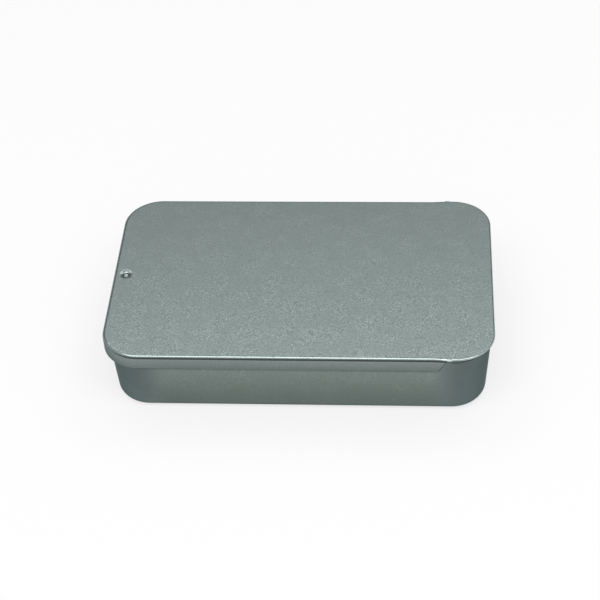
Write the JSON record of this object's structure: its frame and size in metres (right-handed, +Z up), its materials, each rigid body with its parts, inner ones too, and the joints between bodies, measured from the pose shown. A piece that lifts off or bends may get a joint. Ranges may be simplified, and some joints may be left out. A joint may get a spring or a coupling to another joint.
{
  "type": "mint tin",
  "caption": "Flat rectangular slide-top tin: a drawn tinplate pan with folded side rails, and a skirted lid with a detent dimple that slides off along its length.",
  "frame": {"origin": "on the surface that the pan stands on, under the middle of the lid", "axes": "+X along the tin towards the lid's open, hemmed end; -X towards the skirted end with the dimple, the way the lid slides open; +Y across the tin; +Z up"},
  "size_m": [0.08, 0.0502, 0.016],
  "materials": {
    "pan_tinplate": "matte stone-finish tinplate, uncoated",
    "lid_tinplate": "matte stone-finish tinplate, uncoated"
  },
  "bodies": {
    "pan": {"base_pan": "pan_tinplate"},
    "lid": {"slide_lid": "lid_tinplate"}
  },
  "joints": [
    {"name": "lid_slide", "type": "slide", "parent": "pan", "child": "lid", "axis": [-1, 0, 0], "range_m": [0, 0.05]}
  ]
}
